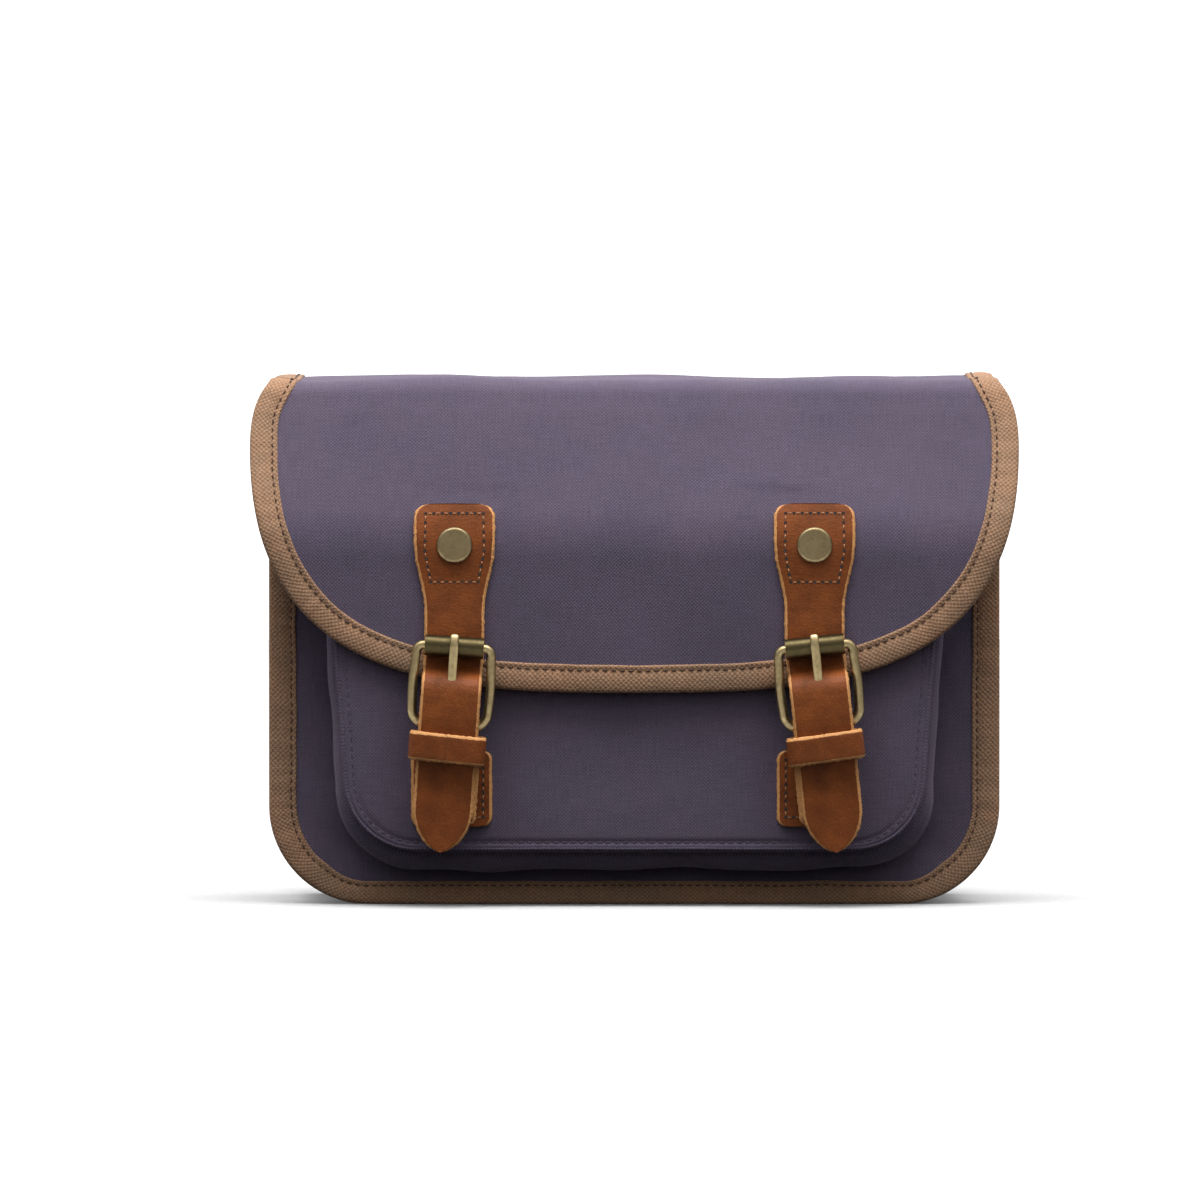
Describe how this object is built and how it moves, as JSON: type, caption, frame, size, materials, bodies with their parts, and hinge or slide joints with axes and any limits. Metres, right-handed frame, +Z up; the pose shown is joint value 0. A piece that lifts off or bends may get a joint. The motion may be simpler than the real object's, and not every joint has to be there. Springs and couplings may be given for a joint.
{
  "type": "messenger bag",
  "caption": "Canvas satchel with a taped-edge flap, leather straps with roller buckles over hidden snaps, a front pocket and side rings.",
  "frame": {"origin": "middle of the bag on the ground it stands on", "axes": "+X to the viewer's right along the bag's width, -Y the front with the flap, +Z up"},
  "size_m": [0.2572, 0.1128, 0.1778],
  "materials": {
    "canvas": "matte woven",
    "lining_cloth": "matte plain weave",
    "edge_tape": "matte woven tape",
    "foam": "matte",
    "board": "matte",
    "leather": "satin",
    "steel": "satin",
    "brass": "antique, satin"
  },
  "bodies": {
    "bag": {"front_panel": "canvas", "back_panel": "canvas", "gusset": "canvas", "front_binding": "edge_tape", "back_binding": "edge_tape", "front_padding": "foam", "back_padding": "foam", "base_board": "board", "lining": "lining_cloth", "slip_pocket": "lining_cloth", "mouth_trim": "lining_cloth", "pocket_face": "canvas", "pocket_gusset": "canvas", "pocket_hem": "edge_tape", "closure_patch_left": "leather", "closure_patch_right": "leather", "snap_socket_left": "steel", "snap_socket_right": "steel", "side_tab_left": "leather", "side_tab_right": "leather", "side_rivet_left": "brass", "side_rivet_right": "brass"},
    "flap_top": {"flap_top": "canvas", "flap_top_lining": "lining_cloth", "flap_top_binding": "edge_tape"},
    "flap_front": {"flap_front": "canvas", "flap_front_lining": "lining_cloth", "flap_binding": "edge_tape", "strap_head_left": "leather", "strap_head_right": "leather", "rivet_cap_left": "brass", "rivet_cap_right": "brass", "rivet_post_left": "steel", "rivet_post_right": "steel"},
    "strap_left": {"strap_left": "leather", "buckle_frame_left": "brass", "buckle_tab_left": "leather", "keeper_left": "leather", "snap_stud_left": "steel"},
    "prong_left": {"prong_left": "brass"},
    "roller_left": {"roller_left": "brass"},
    "d_ring_left": {"d_ring_left": "brass"},
    "strap_right": {"strap_right": "leather", "buckle_frame_right": "brass", "buckle_tab_right": "leather", "keeper_right": "leather", "snap_stud_right": "steel"},
    "prong_right": {"prong_right": "brass"},
    "roller_right": {"roller_right": "brass"},
    "d_ring_right": {"d_ring_right": "brass"}
  },
  "joints": [
    {"name": "flap_lift", "type": "hinge", "parent": "bag", "child": "flap_top", "pos_m": [0, 0.0556, 0.1778], "axis": [-1, 0, 0], "range_deg": [0, 210]},
    {"name": "flap_fold", "type": "hinge", "parent": "flap_top", "child": "flap_front", "pos_m": [0, -0.0064, 0.1778], "axis": [-1, 0, 0], "range_deg": [0, 95]},
    {"name": "strap_bend_left", "type": "hinge", "parent": "flap_front", "child": "strap_left", "pos_m": [-0.06, -0.0448, 0.105], "axis": [-1, 0, 0], "range_deg": [0, 60]},
    {"name": "prong_swing_left", "type": "hinge", "parent": "strap_left", "child": "prong_left", "pos_m": [-0.06184, -0.0486, 0.06106], "axis": [0.9976, 0, -0.0698], "range_deg": [0, 3]},
    {"name": "roller_spin_left", "type": "hinge", "parent": "strap_left", "child": "roller_left", "pos_m": [-0.06, -0.0486, 0.0873], "axis": [0.9976, 0, -0.0698], "continuous": true},
    {"name": "ring_swing_left", "type": "hinge", "parent": "bag", "child": "d_ring_left", "pos_m": [-0.11806, 0.0196, 0.13], "axis": [0, 1, 0], "range_deg": [0, 150]},
    {"name": "strap_bend_right", "type": "hinge", "parent": "flap_front", "child": "strap_right", "pos_m": [0.06, -0.0448, 0.105], "axis": [-1, 0, 0], "range_deg": [0, 60]},
    {"name": "prong_swing_right", "type": "hinge", "parent": "strap_right", "child": "prong_right", "pos_m": [0.0628, -0.0486, 0.06115], "axis": [0.9943, 0, 0.1063], "range_deg": [0, 3]},
    {"name": "roller_spin_right", "type": "hinge", "parent": "strap_right", "child": "roller_right", "pos_m": [0.06, -0.0486, 0.0873], "axis": [0.9943, 0, 0.1063], "continuous": true},
    {"name": "ring_swing_right", "type": "hinge", "parent": "bag", "child": "d_ring_right", "pos_m": [0.11806, 0.0196, 0.13], "axis": [0, -1, 0], "range_deg": [0, 150]}
  ]
}
